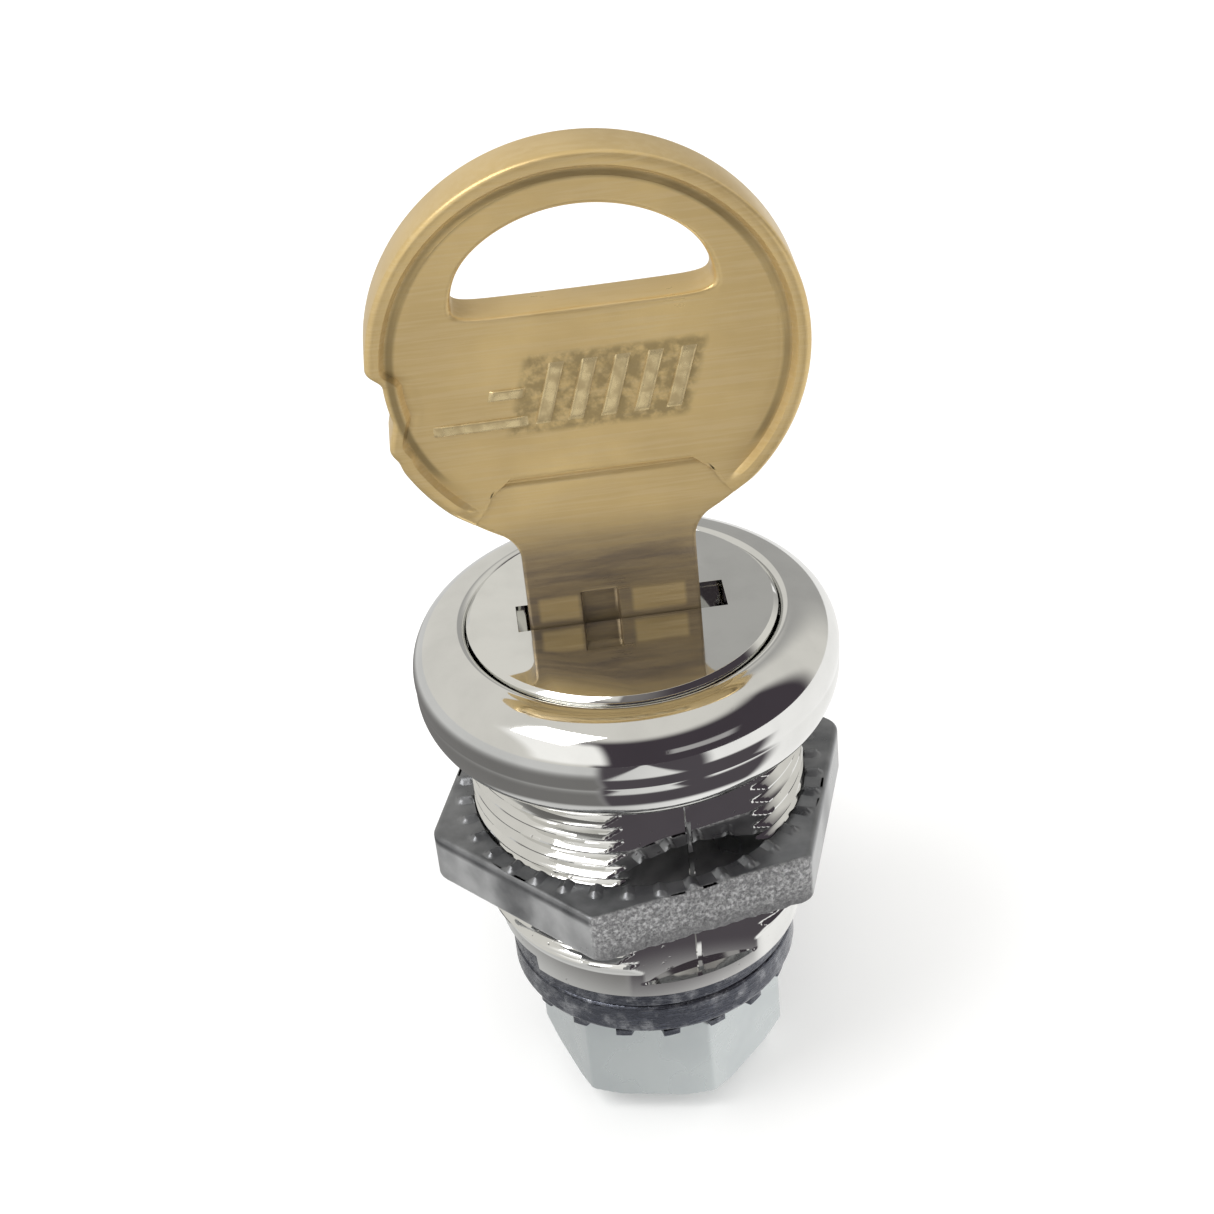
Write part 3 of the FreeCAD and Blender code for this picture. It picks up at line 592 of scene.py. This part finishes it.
def blade_edge(z, edge):
    """The blade's half width at each height, on its left (-1) or right (+1) edge.

    Each cut starts a little above its wafer, and each wafer's is one step deeper than the last one's.
    Above the shoulder the width follows the shoulder's circle, then the bow's circle, and inside the
    bow the trapezium's foot.
    """
    depth, z_points, half_points = 0.0, [shoulder_z], [blade_half]
    for i in range(7):
        if (1 if i % 2 == 0 else -1) == -edge:
            wafer_low, wafer_high = node_box(f"wafer_{i + 1}")
            rest_z = (wafer_low[2] + wafer_high[2]) / 2 + cut_rest
            cut = first_cut + cut_step * i
            z_points += [rest_z + cut - depth, rest_z]
            half_points += [blade_half - depth, blade_half - cut]
            depth = cut
    z_points += [tip_z + tip_slope - depth, tip_z]
    half_points += [blade_half - depth, blade_half - tip_slope]
    cut_edge = np.interp(z, z_points[::-1], half_points[::-1])
    centre = blade_half + shoulder_r
    touch_z = bow_z - bow_r / (bow_r + shoulder_r) * (bow_z - shoulder_z)
    flare = centre - np.sqrt(np.maximum(shoulder_r ** 2 - (z - shoulder_z) ** 2, 0))
    disc = np.sqrt(np.maximum(bow_r ** 2 - (z - bow_z) ** 2, 0))
    foot_z = [bow_z - foot_drop - flare_drop, bow_z - foot_drop, bow_z - top_drop]
    foot_sides = [foot_half + flare_drop * foot_half / (foot_drop + hub_z), foot_half, top_half]
    foot = np.interp(z, foot_z, foot_sides) + foot_gap
    wide = np.minimum(disc, foot)
    return np.where(z < shoulder_z, cut_edge, np.where(z < touch_z, flare, wide))


blade_z = np.unique(np.round(np.concatenate([
    np.linspace(tip_z, shoulder_z, 150), np.linspace(shoulder_z, bow_z - top_drop + 1, 60)]), 4))[:, None]
left, right = blade_edge(blade_z, -1), blade_edge(blade_z, 1)
wing = np.linspace(1.9, 7.4, 16)
across = np.concatenate([-wing[::-1], np.linspace(-1.8, 1.8, 37), wing])
front_x = np.clip(across[None, :], -left + round_edge, right - round_edge)


def ward(x, z, centre):
    """How deep the warding groove is: its full depth between two steep sides, run out at its top."""
    wall = ease(ward_half - np.abs(x - centre), *ward_side)
    return ward_depth * wall * ease(ward_top - z, 0, ward_runout)


swing = np.linspace(-np.pi / 2, np.pi / 2, 7)[None, :]
right_x = right - round_edge + round_edge * np.cos(swing)
left_x = -left + round_edge - round_edge * np.cos(swing)
edge_y = (half_thick - round_edge + round_edge * np.abs(np.sin(swing))) * np.sign(np.sin(swing))
step_line = step_depth * np.exp(-((blade_z - (bow_z - top_drop) + step_below) / step_width) ** 2)
front_y = -half_thick + ward(front_x, blade_z, -ward_offset) + step_line
back_y = half_thick - ward(front_x, blade_z, ward_offset) - step_line
blade_x = np.concatenate([front_x, right_x, front_x[:, ::-1], left_x], 1)
blade_y = np.concatenate([front_y, edge_y + 0 * blade_z, back_y[:, ::-1], -edge_y + 0 * blade_z], 1)
blade_x = np.concatenate([0 * blade_x[:1], blade_x, 0 * blade_x[:1]]) + key_x
blade_y = np.concatenate([0 * blade_y[:1], blade_y, 0 * blade_y[:1]])
blade_rows = np.concatenate([blade_z[:1], blade_z, blade_z[-1:]])
blade = surface("key_blade", blade_x, blade_y, blade_rows, "key", "key_brass", poles=True)


def window(look, value, low, high, soft):
    """1 between two values and 0 outside, with soft ends."""
    return look.band(value, low - soft, low + soft) * look.band(value, high + soft, high - soft)


def brass_look():
    """Worn pale brass: warm patches and fine draw lines across the key.

    The blade is tarnished brown but for two rubbed squares, and dark brown lies in the mark and along the
    rim, partly dirt and partly painted shade.
    """
    look = Look("worn brass", metallic=0.6)
    x, y, z = [axis / MM for axis in look.axes()]
    aside, above = x - key_x, z - bow_z
    patches = look.band(look.noise(6.0, 3.0), 0.3, 0.7)
    draw = look.noise(0.5, 4.0, 0.6, look.stretched((0.12, 1.0, 3.2), (0, 0.12, 0)))
    lines = look.band(draw, 0.40, 0.66)
    gold = look.mix(patches, (0.68, 0.50, 0.225), (0.59, 0.43, 0.195))
    worn = look.mix(lines * 0.40, gold, (0.70, 0.55, 0.31))

    # Round the mark's raised bars, dark brown is painted partly as dirt and partly as painted shade.
    stamped = window(look, aside - above * mark_lean, -3.4, 5.9, 0.3)
    stamped = stamped * window(look, above, mark_z - 2.2, mark_z + 2.2, 0.25)
    mark_dirt_and_shade = look.band(look.noise(0.7, 3.0, 0.6), 0.30, 0.62) * stamped * 0.75
    worn_with_dirt_and_shade = look.mix(mark_dirt_and_shade * look.band(y, -0.9, -1.1), worn, (0.27, 0.20, 0.09))
    # Along the rim's inner foot, dark brown is painted partly as dirt and partly as painted shade where the
    # rim would shade the field.
    from_middle = look.maths_root(aside * aside + above * above)
    along_rim = window(look, from_middle, bow_r - 1.45, bow_r - 1.05, 0.12)
    along_rim = along_rim * look.band(above, -top_drop, 1.5 - top_drop)
    worn_with_dirt_and_shade = look.mix(along_rim * (0.45 + 0.35 * patches), worn_with_dirt_and_shade, (0.22, 0.16, 0.07))

    low = look.band(z, shoulder_z + 3.2, shoulder_z - 1.0)
    streaks = look.noise(1.6, 5.0, 0.62, look.stretched((0.30, 1.0, 1.9)))
    stain = look.band(streaks, 0.34, 0.66)
    squares = window(look, aside, -4.1, -1.9, 0.15) + window(look, aside, 1.0, 3.9, 0.15)
    squares = squares * window(look, z, 6.6, 8.1, 0.2)
    tarnish = low * (0.68 + 0.30 * stain) * (1.0 - 0.65 * squares)
    look.set("Base Color", look.mix(tarnish, worn_with_dirt_and_shade, (0.21, 0.165, 0.12)))
    look.set("Roughness", 0.27 + 0.10 * patches + 0.08 * lines)
    look.set("Normal", look.bump(draw, 0.02, 0.35, look.bump(look.noise(1.1, 3.0), 0.03, 0.25)))
    return look.material


key_brass = brass_look()
blade.data.materials.append(key_brass)


# ---------------------------------------------------------------- key: bow
# The round bow, coined from the same blank: a raised round rim on both faces, a half-moon hole for the
# ring, a notch in the left edge, and a stepped opening below where the blade's flat runs up into it.
rim_width, rim_rise, field_half = 0.9, 0.3, 1.25
edge_round, hole_round, crown_height = 0.28, 0.3, 0.05
hole_floor, hole_half, hole_arch = 3.0, 6.9, bow_r - 2.9
notch_depth, notch_foot, notch_top = 0.9, (-4.0, -2.6), (-0.6, 1.0)
lip_height, lip_z, lip_width = 0.10, -4.6, 0.35


def reach_circle(dx, dz, radius):
    """Distance along a ray from the hole's middle to a circle about the bow's centre."""
    along = hub_z * dz
    return -along + np.sqrt(along ** 2 + radius ** 2 - hub_z ** 2)


def reach_hole(dx, dz):
    """Distance to the hole's edge: the least of arch, floor and ends, blended at the corners.

    The blend is the sum of their minus ninth powers, raised to minus one ninth.
    """
    arch = reach_circle(dx, dz, hole_arch)
    floor = np.where(dz < -1e-3, (hole_floor - hub_z) / np.minimum(dz, -1e-3), 1e3)
    end = hole_half / np.maximum(np.abs(dx), 1e-3)
    return (arch ** -9.0 + floor ** -9.0 + end ** -9.0) ** (-1 / 9)


def reach_edge(dx, dz):
    """Distance to the bow's outline: its circle, less the notch, or the trapezium's sides and top."""
    circle = reach_circle(dx, dz, bow_r)
    height = hub_z + circle * dz
    notch = notch_depth * ease(height, *notch_foot) * (1 - ease(height, *notch_top)) * (dx < 0)
    lip = lip_height * np.exp(-((height - lip_z) / lip_width) ** 2) * (dx < 0)
    outline = circle - notch - lip
    fall = np.maximum(-dz, 1e-3)
    slope = np.abs(dx) / fall
    top = (top_drop + hub_z) / fall
    run = (foot_half - top_half) / (foot_drop - top_drop)
    apart = np.where(np.abs(slope - run) < 1e-6, 1e-6, slope - run)
    flank = (top_half - run * (top_drop + hub_z)) / apart / fall
    down = dz < -0.5
    under_top = down & (slope <= top_half / (top_drop + hub_z))
    under_flank = down & (slope <= foot_half / (foot_drop + hub_z))
    return np.select([under_top, under_flank], [top, flank], outline)


corners = [(top_half, -top_drop), (foot_half, -foot_drop)]
corner_angle = [math.atan2(z - hub_z, side * x) + nudge
                for x, z in corners for side in (-1, 1) for nudge in (-1e-5, 1e-5)]
theta = np.linspace(-np.pi, np.pi, 560, endpoint=False)
theta = np.unique(np.concatenate([theta, corner_angle]))[None, :]
dx, dz = np.cos(theta), np.sin(theta)
inner, outer = reach_hole(dx, dz), reach_edge(dx, dz)
inner_x, inner_z = inner * dx, hub_z + inner * dz
outer_x, outer_z = outer * dx, hub_z + outer * dz
outer_length = np.hypot(outer_x, outer_z)
inset = np.array([0.0, 0.03, 0.09, 0.17, 0.28, 0.42, 0.58, 0.72, 0.82, 0.90, 0.98, 1.08, 1.3])[:, None]
band_x = outer_x * (1 - inset / outer_length)
band_z = outer_z * (1 - inset / outer_length)
hole_inset = np.array([0.0, 0.03, 0.09, 0.18, 0.3])[:, None]
collar_x = inner_x + hole_inset * dx
collar_z = inner_z + hole_inset * dz
share = np.linspace(0, 1, 20)[1:-1, None]
field_x = collar_x[-1:] + (band_x[-1:] - collar_x[-1:]) * share
field_z = collar_z[-1:] + (band_z[-1:] - collar_z[-1:]) * share
is_rim = np.where(outer_z > 0, 1, ease(np.abs(outer_x), foot_half + 0.5, foot_half + 1.9))


def quarter_round(distance, radius):
    """How far a rounded edge has dropped at a distance from the edge: r - sqrt(r^2 - (r - d)^2)."""
    inside = np.clip(radius - distance, 0, radius)
    return radius - np.sqrt(np.maximum(radius ** 2 - inside ** 2, 0))


slope_start, slope_end = rim_width - 0.2, rim_width + 0.08
rim_top = rim_rise * (1 - ease(inset, slope_start, slope_end))
rim_crown = crown_height * (1 - ((inset - rim_width / 2) / (rim_width / 2)) ** 2) * (inset < rim_width)
groove_depth, groove_width, groove_middle = 0.07, 0.09, rim_width + 0.12
groove = groove_depth * np.exp(-((inset - groove_middle) / groove_width) ** 2)
band_half = field_half + is_rim * (rim_top + rim_crown - crown_height - groove)
band_half = band_half - quarter_round(inset, edge_round)
collar_half = field_half - quarter_round(hole_inset, hole_round) + 0 * theta
field_thick = np.full_like(field_x, field_half)
side_x = np.concatenate([collar_x, field_x, band_x[::-1]])
side_z = np.concatenate([collar_z, field_z, band_z[::-1]])
side_half = np.concatenate([collar_half, field_thick, band_half[::-1]])
bow_x = np.concatenate([side_x, side_x[::-1]]) + key_x
bow_rows_z = np.concatenate([side_z, side_z[::-1]]) + bow_z
bow_y = np.concatenate([-side_half, side_half[::-1]])
bow = surface("key_bow", bow_x, bow_y, bow_rows_z, "key", "key_brass", ["key"])
bow.data.materials.append(key_brass)


# ---------------------------------------------------------------- key: stamped mark
# A plain ornament where a stamp would be: a row of leaning bars with two level ones at its foot, coined
# in brass, proud of the bow's front face and rubbed brighter than it.
bar_rise, bar_wide, foot_tall = 0.15, 0.85, 0.6
bar_sink, bar_back = 0.02, 0.06
bars = [(middle, mark_z, bar_wide, mark_height, mark_lean) for middle in (-2.2, -0.5, 1.2, 2.9, 4.6)]
bars.append((-5.9, mark_z - 1.45, 5.0, foot_tall, 0.0))
bars.append((-4.4, mark_z + 0.2, 1.9, foot_tall, mark_lean))


def coined_bar(name, middle, height, wide, tall, lean):
    """A low pillow on the front face: its rise goes as sqrt((1 - u^6)(1 - v^6)), and it leans along v."""
    u, v = np.meshgrid(np.linspace(-1, 1, 17), np.linspace(-1, 1, 25), indexing="ij")
    rise = bar_rise * np.sqrt((1 - u ** 6) * (1 - v ** 6))
    across_bar = middle + wide / 2 * u + lean * tall / 2 * v + key_x
    up_bar = height + tall / 2 * v + bow_z
    front = -field_half + bar_sink - rise
    back = np.full_like(front, -field_half + bar_back)
    halves = ((across_bar, across_bar), (front, back), (up_bar, up_bar))
    loops = [np.concatenate([near, far[::-1]]).T for near, far in halves]
    closed = [np.concatenate([a[:1] * 0 + a[:1].mean(), a, a[:1] * 0 + a[-1:].mean()]) for a in loops]
    bar = surface(name, *closed, "key", "key_brass", poles=True)
    bar.data.materials.append(bright_brass)


look = Look("rubbed brass", metallic=0.6)
rub = look.band(look.noise(0.6, 3.0), 0.35, 0.7)
look.set("Base Color", look.mix(rub, (0.66, 0.53, 0.29), (0.50, 0.385, 0.20)))
look.set("Roughness", 0.24 + 0.14 * rub)
bright_brass = look.material
for number, bar_sizes in enumerate(bars):
    coined_bar(f"key_mark_{number + 1}", *bar_sizes)


# ---------------------------------------------------------------- wafers and their springs
# Thin brass plates punched with a window for the blade, each pushed sideways by a small coil of steel
# wire, all hidden inside the plug.
def stamped_brass_look():
    """Punched brass: bright yellow, with duller patches."""
    look = Look("punched brass")
    dull = look.band(look.noise(0.8, 4.0), 0.35, 0.7)
    look.set("Base Color", look.mix(dull, (0.80, 0.62, 0.28), (0.62, 0.47, 0.22)))
    look.set("Roughness", 0.25 + 0.2 * dull)
    return look.material


def spring_look():
    """Drawn spring wire: bright grey with faint streaks."""
    look = Look("spring wire")
    streak = look.band(look.noise(0.12, 2.0), 0.35, 0.65)
    look.set("Base Color", look.mix(streak, (0.55, 0.56, 0.58), (0.40, 0.41, 0.43)))
    look.set("Roughness", 0.22 + 0.15 * streak)
    return look.material


def coil(name, node, joint, wire_r, turns):
    """A coil along x in its CAD node's box.

    The centreline is a circle whose x grows evenly with its angle, and the wire's circle stands square
    to it, spanned by the coil's own radius and its axis.
    """
    low, high = node_box(node)
    centre_y, centre_z = (low[1] + high[1]) / 2, (low[2] + high[2]) / 2
    coil_r = (high[2] - low[2]) / 2 - wire_r
    along = np.linspace(0, 1, turns * 20)[:, None]
    round_wire = np.linspace(0, 2 * np.pi, 8, endpoint=False)[None, :]
    swing = 2 * np.pi * turns * along
    thick = wire_r * np.where((along == 0) | (along == 1), 0, 1)
    spread = coil_r + thick * np.cos(round_wire)
    x = low[0] + wire_r + (high[0] - low[0] - 2 * wire_r) * along + thick * np.sin(round_wire)
    spring = surface(name, x, centre_y + spread * np.cos(swing), centre_z + spread * np.sin(swing),
                     "plug", "spring_steel", [node], poles=True)
    ledge = low[0] if joint_axis[joint][0] > 0 else high[0]
    ledge * MM
    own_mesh(spring)
    spring.data.materials.append(wire_look)


wafer_look, wire_look = stamped_brass_look(), spring_look()
joint_axis = {joint["name"]: joint["axis"] for joint in frame["joints"]}
coil_wire_r, coil_turns = 0.1, 6
for number in range(1, 8):
    plate = frame["nodes"][f"wafer_{number}"]
    plate.data.materials.clear()
    plate.data.materials.append(wafer_look)
    coil(f"wafer_coil_{number}", f"wafer_spring_{number}", f"wafer_{number}_slide", coil_wire_r, coil_turns)


# ---------------------------------------------------------------- studio
# White paper, lit a little from behind, under an even white sky and one soft box. A bench and a room,
# which only reflections see, give the chrome and the brass their darks and lights.
eye_distance = 0.130
eye_elevation, eye_azimuth = math.radians(34.15), math.radians(-3.0)
eye_roll, eye_pan = -0.102, 0.006
face = Vector((0, 0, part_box("plug")[1].z))
reach = math.cos(eye_elevation)
eye = face + eye_distance * Vector((reach * math.sin(eye_azimuth), -reach * math.cos(eye_azimuth),
                                    math.sin(eye_elevation)))
aim = (face - eye).to_track_quat("-Z", "Y").to_matrix()
aim = aim @ Matrix.Rotation(eye_pan, 3, "Y") @ Matrix.Rotation(eye_roll, 3, "Z")
lens = bpy.data.cameras.new("camera")
lens.lens = 70.28
lens.clip_start = 0.005
camera = bpy.data.objects.new("camera", lens)
camera.matrix_world = Matrix.Translation(eye) @ aim.to_4x4()
bpy.context.scene.collection.objects.link(camera)
bpy.context.scene.camera = camera

world = bpy.data.worlds.new("studio")
world.use_nodes = True
sky = world.node_tree.nodes["Background"]
sky.inputs["Color"].default_value = (1.0, 0.995, 0.98, 1)
sky.inputs["Strength"].default_value = 1.0
bpy.context.scene.world = world


def level_sheet(name, half, z):
    """A level square about the axis, facing up."""
    corners = [(-half, -half, z), (half, -half, z), (half, half, z), (-half, half, z)]
    mesh = bpy.data.meshes.new(name)
    mesh.from_pydata(corners, [], [(0, 1, 2, 3)])
    thing = bpy.data.objects.new(name, mesh)
    bpy.context.scene.collection.objects.link(thing)
    return thing


def only_reflected(thing, look, glow):
    """Gives a backdrop its glow and hides it from everything but reflections."""
    look.set("Emission Color", glow)
    thing.data.materials.append(look.material)
    thing.visible_camera = False
    thing.visible_diffuse = False
    thing.visible_shadow = False


def new_backdrop(name):
    """A black matt material that a backdrop's glow is added to."""
    return Look(name, metallic=0.0, Roughness=1.0, Base_Color=(0, 0, 0, 1), Specular_IOR_Level=0.0,
                Emission_Strength=1.0)


floor_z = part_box("plug")[0].z - 0.0005
floor = level_sheet("floor", 8, floor_z)
paper = Look("floor paper", metallic=0.0, Roughness=0.9, Emission_Color=(1, 1, 1, 1), Emission_Strength=0.10)
tone = paper.band(paper.noise(60.0, 2.0), 0.3, 0.7)
paper.set("Base Color", paper.mix(tone, (0.93, 0.93, 0.93), (0.91, 0.91, 0.91)))
floor.data.materials.append(paper.material)

# The bench: dark in front but for a pale aisle and a pale patch at the right, grey close by on the left,
# and paler from left to right. Directions are cosines from the lock's axis, and distances are in metres.
bench = level_sheet("bench", 0.6, floor_z + 0.0004)
look = new_backdrop("bench glow")
x, y, z = look.axes()
out = look.maths_root(x * x + y * y)
to_right, to_front = x / out, 0.0 - y / out
clear_of_lock = look.band(out, 0.018, 0.024)
ahead = look.band(to_front, -0.05, 0.15) * clear_of_lock
aisle = window(look, x, -0.016, 0.015, 0.003) * look.band(out, 0.046, 0.053)
patch = window(look, to_right, 0.50, 0.95, 0.06) * look.band(out, 0.056, 0.066)
dark = window(look, to_right, -0.37, 0.90, 0.05) * ahead * (1.0 - aisle) * (1.0 - patch)
grey = look.band(to_right, -0.30, -0.42) * clear_of_lock * look.band(out, 0.100, 0.045)
open_bench = look.mix(look.band(to_right, -0.5, 0.8), (0.66, 0.66, 0.65), (1.0, 0.995, 0.98))
bench_glow = look.mix(grey, open_bench, (0.20, 0.195, 0.19))
only_reflected(bench, look, look.mix(dark, bench_glow, (0.085, 0.075, 0.085)))

# The room, a dome of unit size until it is scaled: cream walls that darken at the back right, a dark
# front with a pale streak in it, and a bright window on the left.
room_r = 0.62
around = np.linspace(0, 2 * np.pi, 64, endpoint=False)[None, :]
up = np.linspace(-0.1, np.pi / 2, 24)[:, None]
dome = np.stack([np.cos(up) * np.cos(around), np.cos(up) * np.sin(around), np.sin(up) + 0 * around], -1)
here = np.arange(up.size * around.size).reshape(up.size, around.size)
above = np.roll(here, -1, 0)
room_faces = np.stack([here, np.roll(here, -1, 1), np.roll(above, -1, 1), above], -1)
room_mesh = bpy.data.meshes.new("room")
room_mesh.from_pydata((room_r * dome).reshape(-1, 3).tolist(), [], room_faces[:-1].reshape(-1, 4).tolist())
room = bpy.data.objects.new("room", room_mesh)
bpy.context.scene.collection.objects.link(room)
look = new_backdrop("room glow")
x, y, z = [axis / room_r for axis in look.axes()]
front = 0.0 - y
dark = look.band(x, -0.46, -0.37) * look.band(front, -0.25, 0.0) * look.band(z, 0.90, 0.76)
streak = window(look, z, 0.24, 0.40, 0.02) * window(look, x, 0.22, 0.70, 0.05)
left_window = window(look, x, -0.80, -0.30, 0.05) * window(look, z, 0.05, 0.75, 0.08)
left_window = left_window * look.band(front, 0.0, 0.2)
back = look.band(front, -0.5, -0.8)
wall = look.mix(back * look.band(x, -0.01, 0.09), (0.74, 0.725, 0.68), (0.42, 0.415, 0.40))
shade = look.mix(dark, wall, look.mix(streak, (0.06, 0.05, 0.06), (0.42, 0.41, 0.41)))
only_reflected(room, look, look.mix(left_window, shade, (1.10, 1.09, 1.06)))

lamp = bpy.data.lights.new("soft box", "AREA")
lamp.energy = 0.7
lamp.size = 0.22
box_light = bpy.data.objects.new("soft box", lamp)
box_light.location = (-0.22, -0.12, 0.38)
box_light.rotation_euler = (-box_light.location).to_track_quat("-Z", "Y").to_euler()
bpy.context.scene.collection.objects.link(box_light)
bpy.context.scene.view_settings.view_transform = "Standard"
